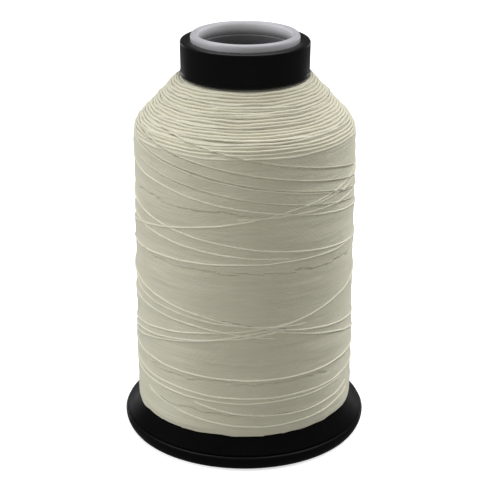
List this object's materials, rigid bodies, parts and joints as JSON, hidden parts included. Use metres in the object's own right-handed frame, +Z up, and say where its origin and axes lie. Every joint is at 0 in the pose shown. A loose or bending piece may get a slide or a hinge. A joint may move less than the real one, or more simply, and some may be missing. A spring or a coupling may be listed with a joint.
{
  "type": "waxed thread spool",
  "caption": "Tall spool of cream waxed thread on a natural plastic tube, with a black top collar, a black flange and a click-fit foot.",
  "frame": {"origin": "centre of the foot's underside, where the spool stands on a table", "axes": "+Z up along the tube's bore, from the foot to the lip; the spool is round, so X and Y are free"},
  "size_m": [0.08, 0.08, 0.132],
  "materials": {
    "natural_plastic": "satin, slightly translucent natural polypropylene",
    "black_plastic": "satin black moulded plastic",
    "waxed_thread": "cream waxed thread, soft wax sheen"
  },
  "bodies": {
    "foot": {"snap_base": "black_plastic"},
    "spool": {"core_tube": "natural_plastic", "top_collar": "black_plastic", "bottom_flange": "black_plastic", "thread_package": "waxed_thread"}
  },
  "joints": [
    {"name": "tail_lock", "type": "slide", "parent": "foot", "child": "spool", "axis": [0, 0, 1], "range_m": [0, 0.002]}
  ]
}
